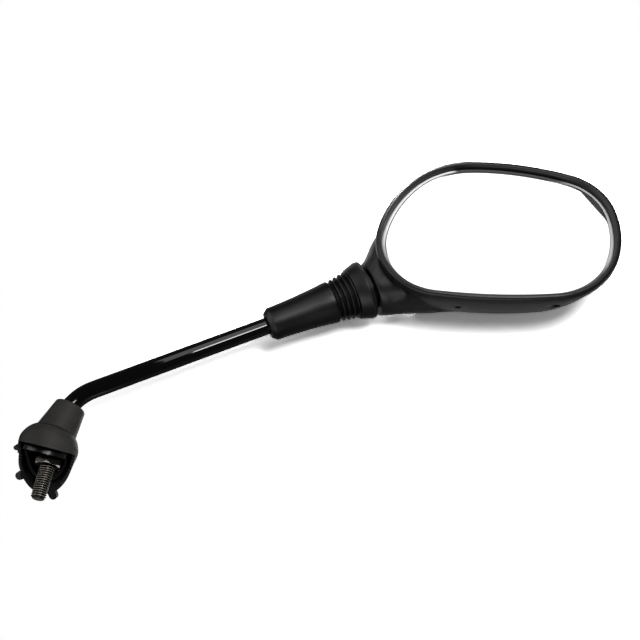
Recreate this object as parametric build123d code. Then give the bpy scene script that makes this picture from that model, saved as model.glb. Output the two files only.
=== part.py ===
from build123d import *
import math
import os

# Stem rod: threaded foot, one bend and a turned neck for the ball
rod_d = 10.0
thread_d = 8.0
thread_pitch_d = 7.19
stud_length = 18.5
stud_chamfer = 1.0
bend_angle = 58.0
bend_radius = 26.0
corner_height = 40.6
stem_length = 195.0
rod_neck_d = 7.0
rod_neck_length = 12.0
rod_neck_taper = 3.0

# Lock nut at the foot
nut_across_flats = 13.0
nut_height = 4.0
nut_chamfer_angle = 30.0
nut_turn = 39.0

# Clearances
thread_clearance = 0.05
press_clearance = 0.02
rubber_clearance = 0.05
moulding_clearance = 0.15
swivel_clearance = 0.3

# Base boot: a leaning bell with an oblique mouth
bell_lean = 5.5
sleeve_lean = 12.6
boot_mouth_x = -3.3
boot_mouth_z = 7.0
boot_tongue_tilt = 48.0
boot_mouth_r = 15.3
boot_belly_r = 16.1
boot_belly_z = 1.0
boot_shoulder_r = 15.3
boot_shoulder_z = 8.3
boot_crease_r = 11.2
boot_crease_z = 13.4
boot_top_r = 8.6
boot_sleeve_shift = 0.9
boot_sleeve_length = 16.6
boot_top_round = 1.6
boot_wall = 1.9
boot_ring_r = 12.4
boot_ring_wall = 1.4
boot_ring_recess = 1.6
boot_ring_drop = 3.6
boot_ears = ((67.0, 2.3, 2.2), (138.0, 2.3, 2.2), (178.0, 1.3, 2.0))
boot_ear_thickness = 2.4

# Upper boot
collar_gap = 4.1
sleeve_length = 40.6
sleeve_start_r = 9.9
sleeve_chamfer = 1.3
sleeve_middle_r = 10.7
sleeve_end_r = 12.9
rib_count = 4
rib_zone = 11.8
rib_first_r = 13.0
rib_last_r = 14.6
rib_depth = 1.8
rib_wall = 1.4
collar_length = 8.4
collar_start_r = 15.3
collar_end_r = 17.6
collar_lip = 0.8
tail_r = 13.2
tail_wall = 1.8
grip_margin = 5.0

# Housing outline, measured from the ball: corner circles (x, z, radius) joined by side arcs
corner_circles = (
    (27.9, 18.1, 36.6),
    (87.8, 33.5, 45.0),
    (96.1, 44.6, 35.3),
    (48.9, 28.1, 52.8),
)
side_radii = (306.0, 60.0, 185.0, 76.0)
head_centre = (62.6, 32.1)
dome_centre = (44.6, 28.1)

# Housing depth: the rim faces -Y
rim_y = -21.0
back_y = 21.5
shell_wall = 2.6
dome_profile = (
    (0.0, 0.995),
    (0.18, 0.975),
    (0.38, 0.93),
    (0.58, 0.86),
    (0.76, 0.76),
    (0.89, 0.63),
    (0.97, 0.46),
    (1.0, 0.32),
)
bead_r = 2.7
bead_inset = 2.3
bead_flat = 0.1
bead_undercut = 0.5
drain_d = 4.0
drain_places = ((43.3, -8.0), (99.6, -11.0))

# Mirror glass and its tape
glass_inset = 5.0
glass_thickness = 2.5
glass_curve_r = 1200.0
glass_crown_y = -20.9
glass_bevel = 0.8
ledge_y = -15.6
ledge_width = 3.6
ledge_thickness = 2.0
tape_margin = 0.4

# Neck of the housing, measured along the stem from its mouth:
# (distance, offset, half height, shift to the back, half depth, corner radius)
neck_reach = 10.7
neck_sections = (
    (0.0, -1.5, 16.0, 0.0, 16.0, 15.6),
    (8.0, 0.4, 20.4, -0.3, 16.6, 15.4),
    (18.0, 2.9, 26.1, -0.8, 17.3, 15.0),
    (30.0, 1.0, 29.6, -1.8, 16.8, 14.5),
    (46.0, -4.5, 30.2, -3.5, 13.5, 12.0),
    (66.0, -12.2, 28.7, -6.0, 8.0, 7.5),
)
neck_lip_round = 1.3
neck_recess_depth = 2.2
neck_mouth_r = 6.8

# Ball joint
ball_r = 7.0
seat_wall = 1.7
seat_inner_edge = 40.0
seat_outer_edge = 75.0
cup_start = 3.0
cup_end = 12.0
cup_bore_r = 4.5
spring_height = 2.2
spring_thickness = 1.0
spring_bore_r = 5.2
socket_wall = 2.3
plate_thickness = 2.0
plate_ear_r = 4.2
screw_offset = 15.0
screw_r = 1.6
screw_length = 10.0
screw_head_r = 3.0
screw_head_height = 2.2

# Places worked out from the sizes above
bend = math.radians(bend_angle)
stem_dir = Vector(math.sin(bend), 0, math.cos(bend))
corner = Vector(0, 0, corner_height)
bend_tangent = bend_radius * math.tan(bend / 2)
seat_inner_r = ball_r + swivel_clearance
seat_outer_r = seat_inner_r + seat_wall
socket_r = seat_outer_r + swivel_clearance
bore_r = socket_r + 1.2
boss_r = bore_r + socket_wall
spring_start = stem_length + cup_end
neck_start = stem_length - neck_reach
sleeve_end = neck_start - collar_gap - collar_length - rib_zone
sleeve_start = sleeve_end - sleeve_length
ball = corner + stem_dir * stem_length
plate_start = spring_start + spring_height
FOOT = (Align.CENTER, Align.CENTER, Align.MIN)


def stem_plane(distance):
    """Plane square to the stem, with its y axis in the plane of the bend."""
    return Plane(origin=corner + stem_dir * distance, x_dir=(0, 1, 0), z_dir=stem_dir)


def turned(points, plane):
    """Solid turned about the plane's normal from (radius, height) points."""
    outline = Polyline(*[(r, h) for r, h in points], close=True)
    return plane * revolve(Plane.XZ * make_face(outline), Axis.Z)


def rod_sweep(radius, start, end):
    """Rod of a given radius along the bent centre line."""
    with BuildLine(Plane.XZ) as path:
        foot = Line((0, start), (0, corner_height - bend_tangent))
        turn = JernArc(foot @ 1, foot % 1, bend_radius, -bend_angle)
        PolarLine(turn @ 1, end - bend_tangent, direction=turn % 1)
    return sweep(Plane.XY.offset(start) * Circle(radius), path=path.line)


def make_stem_rod():
    neck_top = stem_length - rod_neck_length
    rod = rod_sweep(rod_d / 2, nut_height, neck_top - rod_neck_taper)
    stud = Pos(0, 0, -stud_length) * Cylinder(thread_d / 2, stud_length, align=FOOT)
    stud = chamfer(stud.faces().sort_by(Axis.Z)[0].edges(), stud_chamfer)
    engaged = Cylinder(thread_pitch_d / 2, nut_height, align=FOOT)
    taper = Cone(rod_d / 2, rod_neck_d / 2, rod_neck_taper, align=FOOT)
    neck = Cylinder(rod_neck_d / 2, rod_neck_length + ball_r / 2, align=FOOT)
    taper = stem_plane(neck_top - rod_neck_taper) * taper
    neck = stem_plane(neck_top) * neck
    return rod + stud + engaged + taper + neck


def make_pivot_ball():
    bore = Cylinder(rod_neck_d / 2 + press_clearance, ball_r * 2, align=FOOT)
    bore = stem_plane(stem_length - ball_r * 1.5) * bore
    return stem_plane(stem_length) * Sphere(ball_r) - bore


def make_lock_nut():
    hexagon = RegularPolygon(nut_across_flats / 2, 6, major_radius=False, rotation=nut_turn)
    blank = extrude(hexagon, nut_height)
    corner_r = nut_across_flats / math.sqrt(3)
    slope = math.tan(math.radians(nut_chamfer_angle))
    drop = (corner_r - nut_across_flats / 2) * slope
    turned_blank = turned(
        (
            (0, 0),
            (nut_across_flats / 2, 0),
            (corner_r, drop),
            (corner_r, nut_height - drop),
            (nut_across_flats / 2, nut_height),
            (0, nut_height),
        ),
        Plane.XY,
    )
    bore = Cylinder(thread_pitch_d / 2 + thread_clearance, nut_height, align=FOOT)
    return (blank & turned_blank) - bore


def boot_shell(inset):
    """Turned bell of the base boot, drawn smaller by an inset."""
    floor = -2 * boot_mouth_r
    wall = Polyline(
        (0, boot_crease_z - inset),
        (0, floor),
        (boot_mouth_r - inset, floor),
        (boot_belly_r - inset, boot_belly_z),
    )
    dome = ThreePointArc(
        (boot_belly_r - inset, boot_belly_z),
        (boot_shoulder_r - inset * 0.8, boot_shoulder_z - inset * 0.6),
        (boot_crease_r - inset * 0.3, boot_crease_z - inset),
    )
    lid = Line(dome @ 1, wall @ 0)
    outline = wall.edges() + dome.edges() + lid.edges()
    return revolve(Plane.XZ * make_face(outline), Axis.Z)


def make_base_boot():
    bell = boot_shell(0)
    cavity = boot_shell(boot_wall)
    flank = (boot_crease_r - boot_top_r) / boot_sleeve_length
    root_r = boot_crease_r + flank * boot_wall
    sleeve = Cone(root_r, boot_top_r, boot_sleeve_length + boot_wall, align=FOOT)
    sleeve = fillet(sleeve.faces().sort_by(Axis.Z)[-1].edges(), boot_top_round)
    crease = Pos(boot_sleeve_shift, 0, boot_crease_z) * Rot(0, sleeve_lean - bell_lean, 0)
    bell += crease * Pos(0, 0, -boot_wall) * sleeve
    ring = Cylinder(boot_ring_r, 4 * boot_mouth_r)
    ring -= Cylinder(boot_ring_r - boot_ring_wall, 4 * boot_mouth_r)

    # The mouth is square at the front and runs down into a tongue at the back
    tilt = math.radians(boot_tongue_tilt)
    room = boot_mouth_r * 8
    front = Plane.XY
    tongue = Plane(origin=(0, 0, 0), x_dir=(1, 0, 0), z_dir=(0, math.sin(tilt), math.cos(tilt)))
    keep = front * Box(room, room, room, align=FOOT)
    keep += tongue * Box(room, room, room, align=FOOT)
    keep_ring = front.offset(-boot_ring_drop) * Box(room, room, room, align=FOOT)
    keep_ring += tongue.offset(boot_ring_recess) * Box(room, room, room, align=FOOT)
    shell = (bell - cavity) & keep
    shell += ring & cavity & keep_ring

    # Round ears stand out from the tongue's rim, in its plane
    half_depth = boot_mouth_r / math.cos(tilt)
    for angle, ear_r, ear_reach in boot_ears:
        x = math.cos(math.radians(angle))
        y = math.sin(math.radians(angle))
        root = Vector(boot_mouth_r * x, half_depth * y)
        outward = Vector(x / boot_mouth_r, y / half_depth).normalized()
        reach = root + outward * ear_reach
        start = root - outward * boot_wall / 2
        ear = SlotCenterToCenter((reach - start).length, ear_r * 2)
        turn = math.degrees(math.atan2(outward.Y, outward.X))
        middle = (reach + start) * 0.5
        ear = extrude(Pos(middle.X, middle.Y) * Rot(0, 0, turn) * ear, boot_ear_thickness)
        shell += tongue * ear - cavity

    lean = math.radians(bell_lean)
    place = Plane(
        origin=(boot_mouth_x, 0, boot_mouth_z),
        x_dir=(math.cos(lean), 0, -math.sin(lean)),
        z_dir=(math.sin(lean), 0, math.cos(lean)),
    )
    return place * shell - rod_sweep(rod_d / 2 + rubber_clearance, nut_height, stem_length / 2)


def make_upper_boot():
    rib_start = sleeve_end - sleeve_start
    rib_end = rib_start + rib_zone
    collar_end = rib_end + collar_length
    tail_end = neck_start + neck_recess_depth - swivel_clearance - sleeve_start
    pitch = rib_zone / rib_count
    grip_r = rod_d / 2 + rubber_clearance
    start = (sleeve_start_r, sleeve_chamfer)
    end = (sleeve_end_r, rib_start)
    flank = ThreePointArc(start, (sleeve_middle_r, (sleeve_chamfer + rib_start) / 2), end)

    # From the sleeve over the ribs and the collar to the tail, and back along the inside
    points = [end]
    for i in range(rib_count):
        crest_r = rib_first_r + (rib_last_r - rib_first_r) * i / (rib_count - 1)
        foot = rib_start + i * pitch
        points.append((crest_r - rib_depth, foot + pitch * 0.3))
        points.append((crest_r, foot + pitch * 0.7))
        points.append((crest_r, foot + pitch * 0.95))
    points += [
        (rib_last_r - rib_depth, rib_end + collar_lip / 2),
        (collar_start_r, rib_end + collar_lip),
        (collar_end_r, collar_end - collar_lip * 4),
        (collar_end_r - collar_lip, collar_end - collar_lip * 3),
        (collar_end_r - collar_lip / 4, collar_end - collar_lip * 2),
        (collar_end_r - collar_lip / 4, collar_end - collar_lip),
        (collar_end_r - collar_lip, collar_end),
        (tail_r, collar_end),
        (tail_r, tail_end),
        (tail_r - tail_wall, tail_end),
        (tail_r - tail_wall, collar_end),
        (rib_last_r - rib_depth - rib_wall, rib_end),
        (rib_first_r - rib_depth - rib_wall, rib_start),
        (grip_r, rib_start - grip_margin),
        (grip_r, 0),
        (sleeve_start_r - sleeve_chamfer, 0),
        start,
    ]
    outline = Polyline(*points).edges() + flank.edges()
    return stem_plane(sleeve_start) * revolve(Plane.XZ * make_face(outline), Axis.Z)


def head_outline(inset=0.0, share=1.0):
    """Closed outline of eight tangent arcs, inset, then scaled about the dome's centre."""
    origin = Vector(ball.X, ball.Z)
    centre = origin + Vector(*dome_centre)
    circles = [(origin + Vector(x, z), r) for x, z, r in corner_circles]
    sides = []
    for i, side_r in enumerate(side_radii):
        (start, start_r), (end, end_r) = circles[i], circles[(i + 1) % 4]
        step = end - start
        reach_start = side_r - start_r
        reach_end = side_r - end_r
        foot = (reach_start**2 - reach_end**2 + step.length**2) / (2 * step.length)
        rise = math.sqrt(reach_start**2 - foot**2)
        along = step.normalized()
        middle = start + along * foot + Vector(-along.Y, along.X) * rise
        first = start + (start - middle).normalized() * (start_r - inset)
        last = end + (end - middle).normalized() * (end_r - inset)
        bulge = middle + ((first + last) * 0.5 - middle).normalized() * (side_r - inset)
        sides.append((first, bulge, last))
    arcs = []
    for i, (first, bulge, last) in enumerate(sides):
        following = sides[(i + 1) % 4][0]
        hub, hub_r = circles[(i + 1) % 4]
        outward = ((last - hub).normalized() + (following - hub).normalized()).normalized()
        turn = hub + outward * (hub_r - inset)
        place = [centre + (p - centre) * share for p in (first, bulge, last, turn, following)]
        arcs.append(ThreePointArc(place[0], place[1], place[2]))
        arcs.append(ThreePointArc(place[2], place[3], place[4]))
    return arcs


def head_face(y, inset=0.0, share=1.0):
    """Face of the outline at a depth of y."""
    return Plane.XZ.offset(-y) * make_face(head_outline(inset, share))


def head_prism(front, back, inset):
    """Outline carried straight back from one depth to another."""
    return extrude(head_face(front, inset), back - front, dir=(0, 1, 0))


def head_dome(wall):
    """Rounded back of the housing, drawn smaller by a wall."""
    depth = back_y - wall - rim_y
    half_height = min(r for _, _, r in corner_circles) + wall
    shrink = wall / half_height * 0.8
    return loft([head_face(rim_y + depth * d, 0, k - shrink) for d, k in dome_profile])


def neck_flare(wall):
    """Flared neck that runs from the ball joint into the housing."""
    sections = []
    for distance, offset, half_height, shift, half_depth, corner_r in neck_sections:
        oblong = RectangleRounded((half_depth - wall) * 2, (half_height - wall) * 2, corner_r - wall)
        sections.append(stem_plane(neck_start + distance) * Pos(shift, offset) * oblong)
    return loft(sections)


def rim_band():
    """Rounded band that stands out from the dome along the rim."""
    front = rim_y - bead_r
    band = head_prism(front, rim_y + bead_r, bead_inset - bead_r)
    band = fillet(band.edges().group_by(Axis.Y)[0], bead_r - bead_flat)
    return fillet(band.faces().sort_by(Axis.Y)[-1].edges(), bead_undercut)


def glass_ball(depth):
    """Ball whose surface is the glass's front, moved back by a depth."""
    centre = ball + Vector(head_centre[0], glass_crown_y + glass_curve_r, head_centre[1])
    return Pos(*centre) * Sphere(glass_curve_r - depth)


def make_housing_shell():
    dome = head_dome(0)
    flare = neck_flare(0)
    lip = flare.faces().sort_by_distance(stem_plane(neck_start).origin)[0]
    flare = fillet(lip.edges(), neck_lip_round)
    outer = dome + flare + rim_band()
    boss = stem_plane(neck_start) * Cylinder(boss_r, plate_start - neck_start, align=FOOT)
    for side in (-1, 1):
        lug = Pos(0, side * screw_offset) * Cylinder(plate_ear_r, plate_start - stem_length, align=FOOT)
        boss += stem_plane(stem_length) * lug

    # The cavity leaves the wall, the socket and the ledge under the glass
    room = neck_sections[-1][0] * 3
    beyond = stem_plane(stem_length) * Box(room, room, room, align=FOOT)
    cavity = head_dome(shell_wall) + (neck_flare(shell_wall) & beyond)
    cavity -= boss
    mouth = head_prism(rim_y - bead_r * 2, ledge_y, glass_inset - moulding_clearance)
    rim_middle = ball + Vector(head_centre[0], rim_y - bead_r, head_centre[1])
    ledge_inner = head_prism(ledge_y, ledge_y + ledge_thickness, glass_inset + ledge_width)
    ledge = head_prism(rim_y - bead_r, ledge_y + ledge_thickness, 0) - ledge_inner
    shell = outer - (cavity - ledge)

    # The mouth leaves a round bead along the rim
    shell -= mouth
    inner_rim = shell.edges().filter_by_position(Axis.Y, rim_y - bead_r, rim_y - bead_r)
    inner_rim = inner_rim.sort_by(lambda edge: edge.distance_to(rim_middle))[:8]
    shell = fillet(inner_rim, bead_r - bead_flat)

    # Ball socket: recess for the boot, mouth for the rod, seat and bore
    recess_r = tail_r + swivel_clearance
    shell -= stem_plane(neck_start) * Cylinder(recess_r, neck_recess_depth, align=FOOT)
    shell -= stem_plane(neck_start) * Cylinder(neck_mouth_r, stem_length - neck_start, align=FOOT)
    shell -= stem_plane(stem_length) * Sphere(socket_r)
    shell -= stem_plane(stem_length) * Cylinder(bore_r, plate_start - stem_length, align=FOOT)
    for side in (-1, 1):
        hole = Cylinder(screw_r + thread_clearance, screw_length, align=FOOT)
        foot = stem_plane(plate_start + plate_thickness - screw_length)
        shell -= foot * Pos(0, side * screw_offset) * hole

    # Drain holes through the underside
    for x, y in drain_places:
        middle = ball + Vector(x, y, head_centre[1])
        drain = Cylinder(drain_d / 2, corner_circles[-1][2] * 2, align=FOOT)
        shell -= Pos(*middle) * Rot(180, 0, 0) * drain
    return shell


def make_mirror_glass():
    blank = head_prism(rim_y - bead_r, ledge_y, glass_inset)
    lens = (blank & glass_ball(0)) - glass_ball(glass_thickness)
    front = lens.faces().sort_by(Axis.Y)[0]
    return chamfer(front.edges(), glass_bevel)


def make_glass_tape():
    ring = head_prism(rim_y, ledge_y, glass_inset + tape_margin)
    ring -= head_prism(rim_y, ledge_y, glass_inset + ledge_width - tape_margin)
    return ring & glass_ball(glass_thickness)


def seat_ring(side):
    """Seat ring round the ball, on the rod's side (-1) or the head's side (1)."""
    shell = Sphere(seat_outer_r) - Sphere(seat_inner_r)
    near = math.radians(seat_outer_edge)
    far = math.radians(seat_inner_edge)
    size = 4 * seat_outer_r
    near_edge = (size * math.sin(near), size * math.cos(near))
    far_edge = (size * math.sin(far), size * math.cos(far))
    zone = turned(((0, 0), near_edge, far_edge), Plane.XY)
    ring = shell & (zone if side > 0 else Rot(180, 0, 0) * zone)
    return stem_plane(stem_length) * ring


def make_pressure_cup():
    cup = Pos(0, 0, cup_start) * Cylinder(bore_r - moulding_clearance, cup_end - cup_start, align=FOOT)
    cup -= Sphere(socket_r)
    cup -= Cylinder(cup_bore_r, cup_end, align=FOOT)
    return stem_plane(stem_length) * cup


def make_pressure_spring():
    outer_r = bore_r - moulding_clearance
    rise = spring_height - spring_thickness
    rim = ((outer_r, 0), (outer_r, spring_thickness))
    crown = ((spring_bore_r, spring_height), (spring_bore_r, rise))
    return turned(rim + crown, stem_plane(spring_start))


def make_clamp_plate():
    outline = Circle(bore_r + socket_wall / 2)
    for side in (-1, 1):
        outline += Pos(0, side * screw_offset) * Circle(plate_ear_r)
        outline += Pos(0, side * screw_offset / 2) * Rectangle(plate_ear_r * 2, screw_offset)
        outline -= Pos(0, side * screw_offset) * Circle(screw_r + moulding_clearance)
    outline -= Circle(cup_bore_r)
    return stem_plane(plate_start) * extrude(outline, plate_thickness)


def make_clamp_screw(side):
    head = Cylinder(screw_head_r, screw_head_height, align=FOOT)
    head = fillet(head.faces().sort_by(Axis.Z)[-1].edges(), screw_head_height / 2)
    slot = Pos(0, 0, screw_head_height) * Box(screw_head_r, 0.8, screw_head_height)
    slot += Pos(0, 0, screw_head_height) * Box(0.8, screw_head_r, screw_head_height)
    shank = Pos(0, 0, -screw_length) * Cylinder(screw_r, screw_length, align=FOOT)
    return stem_plane(plate_start + plate_thickness) * Pos(0, side * screw_offset) * (head - slot + shank)


pieces = {
    "stem_rod": make_stem_rod(),
    "pivot_ball": make_pivot_ball(),
    "lock_nut": make_lock_nut(),
    "base_boot": make_base_boot(),
    "upper_boot": make_upper_boot(),
    "rear_ball_seat": seat_ring(-1),
    "front_ball_seat": seat_ring(1),
    "housing_shell": make_housing_shell(),
    "pressure_cup": make_pressure_cup(),
    "pressure_spring": make_pressure_spring(),
    "clamp_plate": make_clamp_plate(),
    "clamp_screw_upper": make_clamp_screw(1),
    "clamp_screw_lower": make_clamp_screw(-1),
    "glass_tape": make_glass_tape(),
    "mirror_glass": make_mirror_glass(),
}

os.makedirs("parts", exist_ok=True)
for name, shape in pieces.items():
    export_step(shape, f"parts/{name}.step")
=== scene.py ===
import math

import bmesh
import bpy
from mathutils import Matrix, Vector
from mathutils.kdtree import KDTree


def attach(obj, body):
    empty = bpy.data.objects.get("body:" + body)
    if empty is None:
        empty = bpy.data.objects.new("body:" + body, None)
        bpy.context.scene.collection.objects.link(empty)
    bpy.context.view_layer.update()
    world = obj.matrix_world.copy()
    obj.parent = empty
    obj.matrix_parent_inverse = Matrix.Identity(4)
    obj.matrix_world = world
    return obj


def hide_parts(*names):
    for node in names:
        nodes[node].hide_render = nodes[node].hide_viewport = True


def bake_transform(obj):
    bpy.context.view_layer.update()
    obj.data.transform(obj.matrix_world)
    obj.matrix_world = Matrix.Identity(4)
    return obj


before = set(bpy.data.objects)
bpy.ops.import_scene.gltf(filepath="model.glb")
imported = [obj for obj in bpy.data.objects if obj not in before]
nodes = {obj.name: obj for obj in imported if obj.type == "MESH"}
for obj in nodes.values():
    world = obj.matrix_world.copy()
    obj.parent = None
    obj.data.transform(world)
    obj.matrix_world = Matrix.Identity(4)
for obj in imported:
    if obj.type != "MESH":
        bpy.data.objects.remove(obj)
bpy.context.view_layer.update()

scene = bpy.context.scene
mm = 0.001

# Stem line: its corner above the stud and its direction after the bend
bend = math.radians(58.0)
corner = Vector((0, 0, 40.6)) * mm
along = Vector((math.sin(bend), 0, math.cos(bend)))
across = Vector((-math.cos(bend), 0, math.sin(bend)))

# Upper boot: distances along the stem from its corner, in mm
sleeve_start = 119.4
sleeve_end = 160.0
ribs_start = sleeve_end + 0.8
rib_count = 4
rib_end = 171.8
rib_pitch = (rib_end - sleeve_end) / rib_count
collar_start = ribs_start + rib_count * rib_pitch
collar_end = 182.0
tail_end = 186.2

# Glass: the middle of its outline, and the ball that its front lies on
glass_middle = Vector((228, 0, 176)) * mm
glass_ball_centre = Vector((227.97, 1179.1, 176.03)) * mm
glass_ball_radius = 1200 * mm

table_y = 21.5 * mm


# Shader building

class Value:
    """A shader socket that Python's operators extend with Math nodes."""

    def __init__(self, finish, socket):
        self.finish = finish
        self.socket = socket

    def math(self, operation, *others):
        return self.finish.node("ShaderNodeMath", {"operation": operation}, [self, *others])

    def __add__(self, other):
        return self.math("ADD", other)

    __radd__ = __add__

    def __sub__(self, other):
        return self.math("SUBTRACT", other)

    def __rsub__(self, other):
        return self.finish.node("ShaderNodeMath", {"operation": "SUBTRACT"}, [other, self])

    def __mul__(self, other):
        return self.math("MULTIPLY", other)

    __rmul__ = __mul__


class Finish:
    """Shader nodes of a material, on Object coordinates, or of the world."""

    def __init__(self, name, world=None):
        self.material = world or bpy.data.materials.new(name)
        self.material.use_nodes = True
        self.tree = self.material.node_tree
        self.tree.nodes.clear()
        kind = "World" if world else "Material"
        self.output = self.tree.nodes.new("ShaderNodeOutput" + kind)
        self.place = self.node("ShaderNodeTexCoord", output="Generated" if world else "Object")

    def node(self, kind, settings=None, inputs=None, output=0):
        made = self.tree.nodes.new(kind)
        for key, value in (settings or {}).items():
            setattr(made, key, value)
        pairs = inputs.items() if isinstance(inputs, dict) else enumerate(inputs or [])
        for key, value in pairs:
            if isinstance(value, Value):
                self.tree.links.new(value.socket, made.inputs[key])
            else:
                made.inputs[key].default_value = value
        return Value(self, made.outputs[output])

    def noise(self, scale, detail=2.0, roughness=0.5):
        values = {"Vector": self.place, "Scale": scale, "Detail": detail, "Roughness": roughness}
        return self.node("ShaderNodeTexNoise", inputs=values)

    def cells(self, scale, feature="F1", output="Distance"):
        values = {"Vector": self.place, "Scale": scale}
        return self.node("ShaderNodeTexVoronoi", {"feature": feature}, values, output)

    def between(self, value, low, high, to_low=0.0, to_high=1.0):
        values = {"Value": value, "From Min": low, "From Max": high}
        values.update({"To Min": to_low, "To Max": to_high})
        return self.node("ShaderNodeMapRange", {"interpolation_type": "SMOOTHSTEP"}, values)

    def mix(self, share, first, second):
        """Colour mix, by the numbers of a Mix node's factor and colour sockets."""
        return self.node("ShaderNodeMix", {"data_type": "RGBA"}, {0: share, 6: first, 7: second}, 2)

    def bump(self, height, strength, distance):
        values = {"Height": height, "Strength": strength, "Distance": distance}
        return self.node("ShaderNodeBump", inputs=values)

    def axis(self, name):
        return self.node("ShaderNodeSeparateXYZ", inputs=[self.place], output=name)

    def distance(self, point):
        """Distance from a point that is given in mm."""
        values = [self.place, Vector(point) * mm]
        return self.node("ShaderNodeVectorMath", {"operation": "DISTANCE"}, values, "Value")

    def toward(self, direction):
        """Cosine between the place's direction and a fixed one."""
        values = [self.place, Vector(direction).normalized()]
        return self.node("ShaderNodeVectorMath", {"operation": "DOT_PRODUCT"}, values, "Value")

    def ray(self, kind):
        return self.node("ShaderNodeLightPath", output=kind)

    def close(self, shader):
        self.tree.links.new(shader.socket, self.output.inputs["Surface"])
        return self.material

    def surface(self, **inputs):
        values = {key.replace("_", " "): value for key, value in inputs.items()}
        return self.close(self.node("ShaderNodeBsdfPrincipled", inputs=values))


def grey(level, tint=0.0):
    """Neutral colour, warmer with a positive tint."""
    return (level * (1 + tint), level, level * (1 - tint), 1.0)


# Finishes

def moulded_rubber(name, level, rough, grain, shine, tint):
    f = Finish(name)
    cloud = f.noise(60.0, 4.0, 0.6)
    fine = f.noise(2600.0, 2.0, 0.6)
    dust = f.between(f.noise(420.0, 5.0, 0.7), 0.58, 0.80)
    dark = grey(level * 0.82, tint)
    pale = grey(level * 1.15, tint)
    colour = f.mix(f.between(cloud, 0.3, 0.7), dark, pale)
    colour = f.mix(dust * 0.25, colour, grey(level * 2.2, tint))
    return f.surface(
        Base_Color=colour,
        Roughness=f.between(cloud, 0.2, 0.8, rough - 0.05, rough + 0.06),
        Specular_IOR_Level=shine,
        Normal=f.bump(fine, grain, 0.00012),
    )


def grained_plastic():
    f = Finish("grained_black_plastic")
    cell = f.cells(1700.0, "SMOOTH_F1")
    fine = f.noise(3200.0, 2.0, 0.5)
    cloud = f.noise(45.0, 3.0, 0.5)
    return f.surface(
        Base_Color=f.mix(f.between(cloud, 0.3, 0.7), grey(0.0055), grey(0.0075)),
        Roughness=f.between(cloud, 0.25, 0.75, 0.33, 0.40),
        Specular_IOR_Level=0.32,
        Normal=f.bump(cell * 0.7 + fine * 0.3, 0.22, 0.00015),
    )


def gloss_paint():
    f = Finish("gloss_black_paint")
    peel = f.noise(420.0, 2.0, 0.5)
    cloud = f.noise(90.0, 3.0, 0.5)
    return f.surface(
        Base_Color=f.mix(cloud, grey(0.0006), grey(0.0012)),
        Roughness=f.between(cloud, 0.3, 0.7, 0.03, 0.06),
        Specular_IOR_Level=0.6,
        Normal=f.bump(peel, 0.010, 0.0002),
    )


def bright_zinc():
    f = Finish("bright_zinc")
    tone = f.node("ShaderNodeSeparateColor", inputs=[f.cells(900.0, output="Color")])
    scratch = f.noise(1500.0, 3.0, 0.6)
    return f.surface(
        Base_Color=f.mix(tone, (0.62, 0.61, 0.57, 1), (0.80, 0.79, 0.76, 1)),
        Metallic=1.0,
        Roughness=f.between(scratch, 0.3, 0.7, 0.22, 0.36),
        Normal=f.bump(scratch, 0.08, 0.0001),
    )


def dark_zinc():
    # Zinc darkened to near black for the nut's flats and ends: painted shade
    f = Finish("nut_zinc_painted_shade")
    stain = f.noise(900.0, 3.0, 0.6)
    return f.surface(
        Base_Color=f.mix(stain, (0.020, 0.019, 0.018, 1), (0.055, 0.052, 0.048, 1)),
        Metallic=1.0,
        Roughness=f.between(stain, 0.3, 0.7, 0.18, 0.30),
    )


def thread_steel():
    """Dark steel that is paler on the thread's crests."""
    f = Finish("oiled_thread_steel")
    x = f.axis("X")
    y = f.axis("Y")
    radius = (x * x + y * y).math("SQRT")
    crest = f.between(radius, 3.72 * mm, 3.96 * mm)
    stain = f.noise(700.0, 4.0, 0.6)
    dark = f.mix(stain, (0.008, 0.007, 0.006, 1), (0.022, 0.020, 0.017, 1))
    return f.surface(
        Base_Color=f.mix(crest, dark, (0.27, 0.25, 0.22, 1)),
        Metallic=0.9,
        Roughness=f.between(stain, 0.25, 0.75, 0.42, 0.58),
        Normal=f.bump(stain, 0.15, 0.0001),
    )


def plain_steel():
    f = Finish("plain_steel")
    grain = f.noise(1100.0, 4.0, 0.6)
    return f.surface(
        Base_Color=f.mix(grain, (0.42, 0.42, 0.43, 1), (0.60, 0.60, 0.61, 1)),
        Metallic=1.0,
        Roughness=f.between(grain, 0.3, 0.7, 0.20, 0.34),
    )


def natural_acetal():
    f = Finish("natural_acetal")
    flow = f.noise(160.0, 3.0, 0.5)
    return f.surface(
        Base_Color=f.mix(flow, (0.78, 0.77, 0.72, 1), (0.86, 0.85, 0.81, 1)),
        Roughness=f.between(flow, 0.3, 0.7, 0.32, 0.42),
    )


def black_foam():
    f = Finish("black_foam")
    cell = f.cells(2600.0)
    return f.surface(
        Base_Color=f.mix(cell, grey(0.02), grey(0.05)),
        Roughness=0.9,
        Normal=f.bump(cell, 0.6, 0.0002),
    )


def silvered_glass():
    f = Finish("silvered_glass")
    cloud = f.noise(18.0, 2.0, 0.5)
    return f.surface(
        Base_Color=f.mix(cloud, (0.93, 0.94, 0.94, 1), (0.96, 0.965, 0.965, 1)),
        Metallic=1.0,
        Roughness=f.between(cloud, 0.3, 0.7, 0.010, 0.016),
    )


def edge_angle(f):
    """Angle about the middle of the glass in radians, from +X towards +Z."""
    values = [f.place, glass_middle]
    spoke = f.node("ShaderNodeVectorMath", {"operation": "SUBTRACT"}, values)
    height = f.node("ShaderNodeSeparateXYZ", inputs=[spoke], output="Z")
    return height.math("ARCTAN2", f.node("ShaderNodeSeparateXYZ", inputs=[spoke]))


def right_stretch(f, angle):
    """1 along the right of the glass's edge and 0 elsewhere; it places the painted reflections on
    the right.
    """
    return f.between(angle, -0.35, -0.10) * f.between(angle, 0.95, 0.75)


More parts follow.
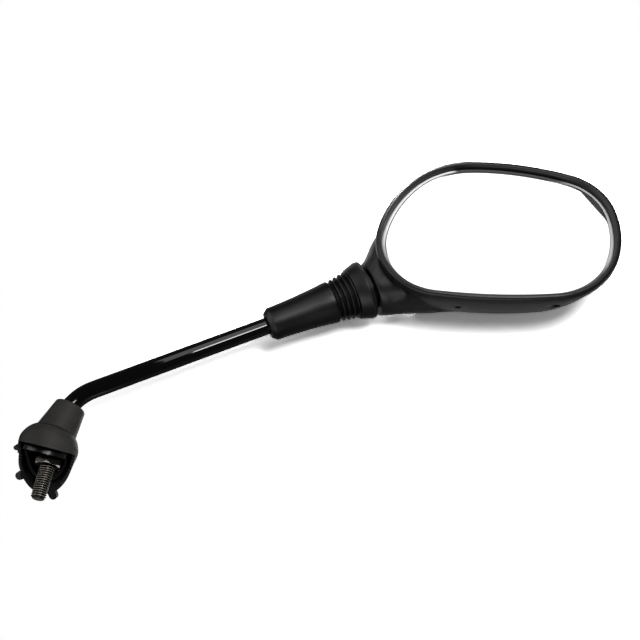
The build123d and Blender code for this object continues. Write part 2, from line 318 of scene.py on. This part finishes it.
def ground_glass():
    """Ground edge with painted highlights, white on the left and half white on the right, and dark
    grey elsewhere as the bead's painted shade.
    """
    f = Finish("ground_edge_painted_light")
    grind = f.noise(2400.0, 3.0, 0.6)
    angle = edge_angle(f)
    left = f.between(angle, 2.16, 2.24) + f.between(angle, -2.6, -3.1)
    clear = f.mix(grind, (0.030, 0.032, 0.032, 1), (0.10, 0.105, 0.105, 1))
    white = f.mix(grind, (0.80, 0.82, 0.81, 1), (0.92, 0.93, 0.92, 1))
    return f.surface(
        # Painted light: white stands for highlights on the left and right, and the dark grey for the
        # bead's shade
        Base_Color=f.mix(left + right_stretch(f, angle) * 0.45, clear, white),
        Roughness=0.24,
        Normal=f.bump(grind, 0.05, 0.0001),
    )


def silver_with_painted_reflection(name, start, end, dim):
    """Silver with a painted reflection of the bead: dark between two angles, and half dark on the
    right where dim is not 0.
    """
    f = Finish(name)
    edge = f.noise(1800.0, 3.0, 0.6)
    angle = edge_angle(f)
    turned = angle + f.between(angle, -1.56, -1.57) * math.tau
    fade = 0.1
    dark = f.between(turned, start - fade, start + fade) * f.between(turned, end + fade, end - fade)
    black = f.mix(edge, grey(0.012), grey(0.035))
    colour = f.mix(right_stretch(f, angle) * dim, grey(0.94), grey(0.22))
    silver = 1 - dark
    return f.surface(
        # Painted reflection: the dark stretch and the grey on the right stand for the bead seen in
        # the silvering
        Base_Color=f.mix(dark, colour, black),
        Metallic=silver,
        Roughness=f.between(silver, 0.0, 1.0, 0.28, 0.02),
    )


boot_rubber = moulded_rubber("base_boot_rubber", 0.031, 0.58, 0.30, 0.18, 0.04)
# Darker copies of the rubber for the inside of the base boot, its inner band, the rib grooves and
# the collar's throat: painted shade
painted_shade_rubber = moulded_rubber("base_boot_painted_shade", 0.0015, 0.60, 0.10, 0.10, 0.0)
boot_band = moulded_rubber("base_boot_band", 0.003, 0.20, 0.06, 0.60, 0.0)
sleeve_rubber = moulded_rubber("upper_boot_rubber", 0.0026, 0.36, 0.50, 0.34, -0.02)
rib_rubber = moulded_rubber("upper_boot_ribs", 0.0026, 0.30, 0.30, 0.55, -0.02)
housing_plastic = grained_plastic()
stem_paint = gloss_paint()
zinc = bright_zinc()
nut_zinc = dark_zinc()
thread_finish = thread_steel()
steel = plain_steel()
acetal = natural_acetal()
foam = black_foam()
mirror = silvered_glass()
glass_edge = ground_glass()
# Edge rings with painted reflections of the bead
silver_edge = silver_with_painted_reflection("silver_painted_reflection_edge", 0.85, 3.55, 1.0)
silver_top = silver_with_painted_reflection("silver_painted_reflection_top", 0.95, 2.35, 0.0)


# Piece helpers

def add_piece(name, bm, angle, materials, body, stands_for=()):
    """Piece from a bmesh, smooth up to an angle in degrees, riding on a body if one is given."""
    bm.normal_update()
    for face in bm.faces:
        face.smooth = True
    for edge in bm.edges:
        edge.smooth = len(edge.link_faces) == 2 and edge.calc_face_angle(0) < math.radians(angle)
    mesh = bpy.data.meshes.new(name)
    bm.to_mesh(mesh)
    bm.free()
    for material in materials:
        mesh.materials.append(material)
    piece = bpy.data.objects.new(name, mesh)
    scene.collection.objects.link(piece)
    if body:
        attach(piece, body)
    if stands_for:
        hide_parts(*stands_for)
    return piece


def smooth_step(value, low, high):
    share = min(max((value - low) / (high - low), 0.0), 1.0)
    return share * share * (3 - 2 * share)


def merged_copy(node):
    """Welded copy of a CAD node's mesh."""
    bm = bmesh.new()
    bm.from_mesh(nodes[node].data)
    bmesh.ops.remove_doubles(bm, verts=bm.verts, dist=0.004 * mm)
    return bm


def cut_level(bm, height, side):
    """Removes what lies above a level plane where side is 1, or below it where side is -1."""
    bmesh.ops.bisect_plane(
        bm,
        geom=bm.verts[:] + bm.edges[:] + bm.faces[:],
        plane_co=(0, 0, height * mm),
        plane_no=(0, 0, side),
        clear_outer=True,
        dist=1e-7,
    )


def close_holes(bm):
    bmesh.ops.holes_fill(bm, edges=[e for e in bm.edges if e.is_boundary])


def turned_ring(loop, steps=96):
    """Ring turned about the stem from a closed loop of (radius, distance, round) points, in mm."""
    bm = bmesh.new()
    verts = [bm.verts.new(corner + (along * m + across * r) * mm) for r, m, _ in loop]
    bm.faces.new(verts)
    for size in sorted({size for _, _, size in loop if size}):
        bmesh.ops.bevel(
            bm,
            geom=[v for v, point in zip(verts, loop) if point[2] == size],
            offset=size * mm,
            segments=4,
            profile=0.5,
            affect="VERTICES",
            material=-1,
        )
    face = bm.faces[:][0]
    edges = face.edges[:]
    bmesh.ops.delete(bm, geom=[face], context="FACES_ONLY")
    bmesh.ops.spin(
        bm, geom=edges, cent=corner, axis=along, angle=math.tau, steps=steps, use_merge=True
    )
    bmesh.ops.remove_doubles(bm, verts=bm.verts, dist=0.002 * mm)
    bmesh.ops.recalc_face_normals(bm, faces=bm.faces)
    return bm


# Stem: painted rod, a rolled thread on its foot, and the nut

def make_painted_rod():
    bm = merged_copy("stem_rod")
    cut_level(bm, 0.6, -1)
    close_holes(bm)
    add_piece("painted_rod", bm, 35, [stem_paint], "stem", ["stem_rod"])


def make_stud_thread():
    pitch = 1.25
    root = 3.32
    crest = 3.98
    tip = -18.49
    top = 0.5
    run_in = 1.5
    chamfer = 1.1
    per_turn = 40
    turns = 17
    bm = bmesh.new()
    profile = ((root, 0.0), (root, 0.22), (crest, 0.58), (crest, 0.74), (root, 1.10), (root, pitch))
    verts = [bm.verts.new(Vector((r, 0, tip - run_in + z)) * mm) for r, z in profile]
    edges = [bm.edges.new(pair) for pair in zip(verts, verts[1:])]
    bmesh.ops.spin(
        bm,
        geom=edges,
        cent=(0, 0, 0),
        axis=(0, 0, 1),
        dvec=(0, 0, pitch * mm / per_turn),
        angle=math.tau * turns,
        steps=per_turn * turns,
    )
    bmesh.ops.remove_doubles(bm, verts=bm.verts, dist=0.004 * mm)
    cut_level(bm, tip, -1)
    cut_level(bm, top, 1)
    for v in bm.verts:
        limit = (crest - chamfer + (v.co.z / mm - tip)) * mm
        reach = math.hypot(v.co.x, v.co.y)
        if reach > limit:
            v.co.x *= limit / reach
            v.co.y *= limit / reach
    close_holes(bm)
    bmesh.ops.recalc_face_normals(bm, faces=bm.faces)
    add_piece("stud_thread", bm, 40, [thread_finish], "stem")


def make_lock_nut():
    edge_round = 0.32
    edge_angle_limit = math.radians(25)
    bm = merged_copy("lock_nut")
    bmesh.ops.dissolve_limit(bm, angle_limit=0.01, verts=bm.verts, edges=bm.edges)
    joined = [e for e in bm.edges if len(e.link_faces) == 2]
    bmesh.ops.bevel(
        bm,
        geom=[e for e in joined if e.calc_face_angle(0) > edge_angle_limit],
        offset=edge_round * mm,
        segments=3,
        profile=0.5,
        affect="EDGES",
        material=-1,
        clamp_overlap=True,
    )
    bm.normal_update()
    for face in bm.faces:
        # Chamfers keep the bright zinc; flats and ends get the darkened zinc as painted shade
        face.material_index = 1 if 0.12 < abs(face.normal.z) < 0.97 else 0
    add_piece("zinc_nut", bm, 35, [nut_zinc, zinc], "stem", ["lock_nut"])


# Boots

def make_base_boot():
    lean = math.radians(5.5)
    axis = Vector((math.sin(lean), 0, math.cos(lean)))
    mouth = Vector((-3.3, 0, 7.0)) * mm
    lining_top = 12.5 * mm
    lining_r = 12.9 * mm
    lip_top = 2 * mm
    lip_r = 14.9 * mm
    band_r = 11.8 * mm
    skirt_r = 16.4 * mm
    side_rise = 3.2
    rise_slope = 0.30
    bm = merged_copy("base_boot")
    # Inside the mouth, on its lip and on the inner band the rubber is darker: painted shade
    for face in bm.faces:
        offset = face.calc_center_median() - mouth
        height = offset.dot(axis)
        spoke = offset - axis * height
        facing = face.normal.dot(spoke.normalized())
        inside = height < lining_top and (spoke.length < lining_r or facing < -0.5)
        lip = height < lip_top and abs(facing) <= 0.5 and spoke.length < lip_r
        band = inside and facing > 0.7 and spoke.length > band_r
        face.material_index = 2 if band else 1 if inside or lip else 0

    # The front of the mouth hangs lower than its sides
    for vert in bm.verts:
        offset = vert.co - mouth
        height = offset.dot(axis) / mm
        depth = vert.co.y / mm
        by_ear = offset.x < -13.8 * mm and abs(depth) < 2.8
        if (offset - axis * height * mm).length < skirt_r and not by_ear:
            if depth < 0:
                rise = side_rise + rise_slope * depth
            else:
                rise = side_rise * (1 - smooth_step(depth, 0, 7))
            vert.co += axis * rise * (1 - smooth_step(height, 1, 8)) * mm
    finishes = [boot_rubber, painted_shade_rubber, boot_band]
    add_piece("rubber_base_boot", bm, 38, finishes, "stem", ["base_boot"])


def make_boot_sleeve():
    bore = 5.05
    loop = [
        (bore, sleeve_start, 0),
        (7.7, sleeve_start, 0.15),
        (9.85, 122.0, 0.18),
        (10.02, 128.0, 0),
        (10.35, 134.0, 0),
        (10.75, 140.5, 0),
        (11.3, 147.0, 0),
        (12.0, 153.5, 0),
        (12.85, sleeve_end - 0.1, 0.5),
        (11.6, ribs_start, 0),
        (9.6, ribs_start, 0),
        (bore, 155.0, 0),
    ]
    bm = turned_ring(loop)
    add_piece("boot_sleeve", bm, 45, [sleeve_rubber], "stem", ["upper_boot"])


def make_boot_ribs():
    """Four ribs, each with a dark groove below its crest, where the dark is painted shade."""
    for i in range(rib_count):
        name = f"boot_rib_{i + 1}"
        crest = 13.0 + 1.6 * i / (rib_count - 1)
        groove = crest - 2.0
        inner = crest - 2.6
        foot = ribs_start + i * rib_pitch
        loop = [
            (inner, foot, 0),
            (groove, foot, 0),
            (groove, foot + rib_pitch * 0.60, 0.1),
            (crest - 0.2, foot + rib_pitch * 0.68, 0.2),
            (crest, foot + rib_pitch * 0.80, 0.15),
            (crest - 0.4, foot + rib_pitch * 0.93, 0.2),
            (crest - 1.8, foot + rib_pitch, 0),
            (inner, foot + rib_pitch, 0),
        ]
        bm = turned_ring(loop)
        # The groove below each crest gets the darker rubber: painted shade
        for face in bm.faces:
            offset = face.calc_center_median() - corner
            spoke = (offset - along * offset.dot(along)).length
            face.material_index = 1 if spoke < (crest - 0.9) * mm else 0
        piece = add_piece(name, bm, 60, [rib_rubber, painted_shade_rubber], None)
        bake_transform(piece)


def make_boot_throat():
    """Lining inside the collar, dark with painted shade, that closes the fold that opens when the
    head turns.
    """
    start = collar_start - 1.0
    end = collar_start + 4.5
    bm = turned_ring([(10.3, start, 0), (10.9, start, 0), (10.3, end, 0), (9.7, end, 0)])
    add_piece("boot_throat", bm, 45, [painted_shade_rubber], "front_seat")


def make_boot_collar():
    loop = [
        (12.1, collar_start, 0),
        (12.9, collar_start, 0),
        (15.3, rib_end + 1.0, 0.6),
        (17.6, collar_end - 1.9, 0.5),
        (17.2, collar_end - 1.35, 0),
        (17.2, collar_end - 1.1, 0),
        (17.55, collar_end - 0.85, 0.15),
        (17.45, collar_end - 0.3, 0.2),
        (16.6, collar_end, 0.2),
        (11.9, collar_end, 0),
        (11.9, tail_end, 0),
        (10.4, tail_end, 0),
        (10.4, collar_end, 0),
    ]
    add_piece("boot_collar", turned_ring(loop), 45, [sleeve_rubber], "head")


# Head

def point_tree(points):
    tree = KDTree(len(points))
    for i, point in enumerate(points):
        tree.insert(point, i)
    tree.balance()
    return tree


def front_faces(bm):
    """Faces of the glass that look out of the housing."""
    bm.normal_update()
    return [f for f in bm.faces if f.normal.y < -0.97]


class SlimRim:
    """Widens the opening for the glass a little, so that the bead's inner side is steep."""

    reach = 1.7
    per_edge = 8

    def __init__(self):
        bm = merged_copy("mirror_glass")
        front = set(front_faces(bm))
        edges = [e for e in bm.edges if len(front.intersection(e.link_faces)) == 1]
        self.samples = []
        for edge in edges:
            start, end = (v.co.copy() for v in edge.verts)
            outward = (end - start).cross(Vector((0, 1, 0))).normalized()
            if outward.dot(start - glass_middle) < 0:
                outward = -outward
            for i in range(self.per_edge):
                point = start.lerp(end, (i + 0.5) / self.per_edge)
                self.samples.append((Vector((point.x, 0, point.z)), outward))
        bm.free()
        self.tree = point_tree([point for point, _ in self.samples])

    def outside(self, place):
        """Distance outside the glass's edge, in mm, and the direction away from it."""
        flat = Vector((place.x, 0, place.z))
        point, index, _ = self.tree.find(flat)
        outward = self.samples[index][1]
        return (flat - point).dot(outward) / mm, outward

    def shift(self, place):
        """Move that is full at the edge and fades out inside the glass and over the bead."""
        outside, outward = self.outside(place)
        share = smooth_step(outside, -18, -0.3) * (1 - smooth_step(outside, 0.9, 3.4))
        return outward * share * self.reach * mm


slim_rim = SlimRim()


def outer_skin(bm, limit=75):
    """Faces reached from the rearmost one, over edges no sharper than a limit in degrees."""
    start = max(bm.faces, key=lambda face: face.calc_center_median().y)
    reached = {start}
    front = [start]
    while front:
        face = front.pop()
        for edge in face.edges:
            if len(edge.link_faces) == 2 and edge.calc_face_angle(0) < math.radians(limit):
                fresh = [f for f in edge.link_faces if f not in reached]
                reached.update(fresh)
                front.extend(fresh)
    return reached


def fill_hollows(bm, verts, rounds):
    """Raises the hollows of a surface to a smooth sweep and leaves its swellings as they are."""
    lift_share = 0.7
    rings = [(v, [e.other_vert(v) for e in v.link_edges]) for v in verts]
    for i in range(rounds):
        if i % 8 == 0:
            bm.normal_update()
        lifts = []
        for vert, ring in rings:
            middle = sum((other.co for other in ring), Vector()) / len(ring)
            lifts.append(max((middle - vert.co).dot(vert.normal), 0.0))
        for (vert, _), lift in zip(rings, lifts):
            vert.co += vert.normal * lift * lift_share


def soften_neck_seam(bm):
    """Rounds off the line in which the neck meets the dome, clear of the rims and drain holes."""
    neck_mouth = 188
    seam_end = 264
    seam_angle = math.radians(9)
    bead_front = -21
    fine_edge = 1.6 * mm
    rim_margin = 5.5 * mm
    skin = outer_skin(bm)
    seam = []
    for edge in bm.edges:
        middle = (edge.verts[0].co + edge.verts[1].co) / 2
        reach = (middle - corner).dot(along)
        on_skin = len(edge.link_faces) == 2 and all(f in skin for f in edge.link_faces)
        on_neck = neck_mouth * mm < reach < seam_end * mm and middle.y > -17 * mm
        if on_skin and on_neck and edge.calc_face_angle(0) > seam_angle:
            seam.append(middle)
    tree = point_tree(seam)

    def near(vert, radius, front=-17.5, outside=-math.inf):
        reach = (vert.co - corner).dot(along)
        clear = reach > (neck_mouth + 0.5) * mm and vert.co.y > front * mm
        clear = clear and slim_rim.outside(vert.co)[0] > outside
        return clear and tree.find(vert.co)[2] < radius * mm

    def is_coarse(edge):
        on_skin = any(f in skin for f in edge.link_faces)
        long = edge.calc_length() > fine_edge
        return on_skin and long and any(near(v, 24, bead_front) for v in edge.verts)

    for _ in range(4):
        skin = outer_skin(bm)
        bmesh.ops.subdivide_edges(bm, edges=[e for e in bm.edges if is_coarse(e)], cuts=1)
        bmesh.ops.triangulate(bm, faces=[f for f in bm.faces if len(f.verts) > 3])
    skin = outer_skin(bm)
    reached = {v for f in skin for v in f.verts}
    free = {v for v in reached if all(f in skin for f in v.link_faces)}
    rims = point_tree([v.co.copy() for v in reached - free])
    free = [v for v in free if rims.find(v.co)[2] > rim_margin]
    fill_hollows(bm, [v for v in free if near(v, 22, bead_front, 4.5)], 160)
    for radius, rounds in ((15, 16), (10, 14), (6.5, 12), (4, 10)):
        picked = [v for v in free if near(v, radius)]
        for _ in range(rounds):
            bmesh.ops.smooth_vert(
                bm, verts=picked, factor=0.5, use_axis_x=True, use_axis_y=True, use_axis_z=True
            )


def make_housing():
    bead_back = -15.2 * mm
    bm = merged_copy("housing_shell")
    soften_neck_seam(bm)
    for vert in bm.verts:
        if vert.co.y < bead_back:
            vert.co += slim_rim.shift(vert.co)
    finishes = [housing_plastic]
    add_piece("mirror_housing", bm, 32, finishes, "head", ["housing_shell"])


def make_glass():
    finishes = [mirror, glass_edge, silver_edge, silver_top]
    # Rings round the pane that carry the edge's painted highlights, reflections and shade
    edge_rings = ((1.2, 1), (0.6, 2), (0.8, 3))
    bm = merged_copy("mirror_glass")
    pane = bmesh.ops.dissolve_faces(bm, faces=front_faces(bm))["region"][0]
    for face in bm.faces:
        face.material_index = 1
    for width, index in edge_rings:
        ring = bmesh.ops.inset_region(
            bm, faces=[pane], thickness=width * mm, use_even_offset=True
        )
        for face in ring["faces"]:
            face.material_index = index
    pane.material_index = 0
    middle = bmesh.ops.poke(bm, faces=[pane])["verts"][0]
    bmesh.ops.subdivide_edges(bm, edges=middle.link_edges[:], cuts=14, use_grid_fill=True)

    # The front lies on the glass's own ball
    bm.normal_update()
    centre = glass_ball_centre
    for vert in bm.verts:
        vert.co += slim_rim.shift(vert.co)
        if any(f.normal.y < -0.95 for f in vert.link_faces):
            side = math.hypot(vert.co.x - centre.x, vert.co.z - centre.z)
            vert.co.y = centre.y - math.sqrt(glass_ball_radius**2 - side**2)
    bmesh.ops.triangulate(bm, faces=[f for f in bm.faces if len(f.verts) > 4])
    add_piece("convex_glass", bm, 20, finishes, "head", ["mirror_glass"])


make_painted_rod()
make_stud_thread()
make_lock_nut()
make_base_boot()
make_boot_sleeve()
make_boot_ribs()
make_boot_throat()
make_boot_collar()
make_housing()
make_glass()

inner_finishes = {
    "pivot_ball": steel,
    "rear_ball_seat": acetal,
    "front_ball_seat": acetal,
    "pressure_cup": acetal,
    "pressure_spring": steel,
    "clamp_plate": zinc,
    "clamp_screw_upper": zinc,
    "clamp_screw_lower": zinc,
    "glass_tape": foam,
}
for name, material in inner_finishes.items():
    nodes[name].data.materials.clear()
    nodes[name].data.materials.append(material)


# Table, light and camera

def table_finish():
    """White with a shadow to the camera, dark with pale patches to reflections, and clear behind."""
    f = Finish("white_table")
    height = f.axis("Z")
    # Pale patches seen only in reflections, beside and below the head and by the stud: painted light
    # that puts sheens on the housing and the stem
    beside_head = f.between(f.distance((235, 21, 178)), 0.190, 0.120)
    beside_head = beside_head * f.between(height, 0.135, 0.160) * f.between(height, 0.250, 0.225)
    below_head = f.between(f.distance((250, 21, 105)), 0.085, 0.045)
    by_stud = f.between(f.distance((20, 21, -40)), 0.070, 0.030)
    patches = beside_head * 0.9 + below_head * 0.22 + by_stud * 0.9 + 0.10
    reflected = f.mix(patches, grey(0.0), grey(1.0))
    tone = f.mix(f.ray("Is Glossy Ray"), grey(0.80), reflected)
    board = f.node("ShaderNodeBsdfDiffuse", inputs={"Color": tone})

    # The camera sees the shadow near the head, and plain white far from it
    far = f.between(f.distance((225, 21, 140)), 0.15, 0.27)
    shaded = f.node("ShaderNodeBsdfDiffuse", inputs={"Color": grey(3.0)})
    glow = f.node("ShaderNodeEmission", inputs={"Color": (1, 1, 1, 1), "Strength": 1.0})
    shown = f.node("ShaderNodeMixShader", inputs=[far, shaded, glow])
    front = f.node("ShaderNodeMixShader", inputs=[f.ray("Is Camera Ray"), board, shown])
    back = f.node("ShaderNodeNewGeometry", output="Backfacing")
    clear = f.node("ShaderNodeBsdfTransparent")
    return f.close(f.node("ShaderNodeMixShader", inputs=[back, front, clear]))


def make_table():
    gap = 0.4 * mm
    bm = bmesh.new()
    upright = Matrix.Rotation(math.pi / 2, 4, "X")
    turn = Matrix.Translation((0.15, table_y + gap, 0.1)) @ upright
    bmesh.ops.create_grid(bm, x_segments=1, y_segments=1, size=4.0, matrix=turn)
    mesh = bpy.data.meshes.new("white_table")
    bm.to_mesh(mesh)
    bm.free()
    mesh.materials.append(table_finish())
    table = bpy.data.objects.new("white_table", mesh)
    scene.collection.objects.link(table)
    table.visible_shadow = False


def make_world():
    """White to the camera, and a dim room with three pale sides to reflections."""
    scene.world = bpy.data.worlds.new("dim_studio")
    f = Finish("dim_studio", scene.world)
    seen = f.ray("Is Camera Ray")
    glossy = f.ray("Is Glossy Ray")
    pale_side = f.between(f.toward((-0.80, -0.45, -0.10)), 0.72, 0.95)
    low_side = f.between(f.toward((-0.08, -0.12, -1.0)), 0.80, 0.95)
    rear_side = f.between(f.toward((-0.2, 0.85, 0.5)), 0.45, 0.95)
    room = pale_side * 1.5 + low_side * 2.2 + rear_side * 3.0 + 0.05
    light = glossy * room + (1 - glossy) * 0.17
    strength = seen + (1 - seen) * light
    values = {"Color": (1, 1, 1, 1), "Strength": strength}
    f.close(f.node("ShaderNodeBackground", inputs=values))


def placed(place, right, upward, back):
    """Matrix of a lamp or camera from its place and its own axes."""
    return Matrix.Translation(place) @ Matrix((right, upward, back)).transposed().to_4x4()


def add_lamp(name, place, facing, side, width, height, level, spread=180):
    """Lamp with a place in mm, its facing and width directions, a brightness and a spread."""
    lamp = bpy.data.lights.new(name, "AREA")
    lamp.shape = "RECTANGLE"
    lamp.size = width
    lamp.size_y = height
    lamp.energy = math.pi * level * width * height
    lamp.spread = math.radians(spread)
    item = bpy.data.objects.new(name, lamp)
    back = -Vector(facing).normalized()
    upward = back.cross(Vector(side)).normalized()
    item.matrix_world = placed(Vector(place) * mm, upward.cross(back), upward, back)
    scene.collection.objects.link(item)


def make_camera():
    focal_px = 990
    picture_px = 640
    place = Vector((174.8, -499.8, -173.0)) * mm
    target = Vector((128.7, 21.5, 124.5)) * mm
    upward = Vector((-0.1325, -0.5, 0.8558))
    forward = (target - place).normalized()
    right = forward.cross(upward).normalized()
    lens = bpy.data.cameras.new("photo_camera")
    lens.sensor_width = 36.0
    lens.lens = lens.sensor_width * focal_px / picture_px
    lens.clip_start = 0.01
    camera = bpy.data.objects.new("photo_camera", lens)
    camera.matrix_world = placed(place, right, right.cross(forward), -forward)
    scene.collection.objects.link(camera)
    scene.camera = camera


make_table()
make_world()
box_side = (0.559, 0, -0.829)
add_lamp("softbox", (282, -600, 450), (0, 1, 0), box_side, 0.63, 0.62, 1.45)
add_lamp("key", (334, -600, 120), (0, 1, 0), box_side, 0.255, 0.200, 17.0)
add_lamp("neck_light", (100, -60, 430), (90, 50, -250), (1, 0, 0), 0.06, 0.06, 4.5, 13)
add_lamp("rear_fill", (60, 900, 450), (0.1, -0.9, -0.3), (1, 0, 0), 0.7, 0.5, 9.0)
make_camera()
scene.view_settings.view_transform = "Standard"
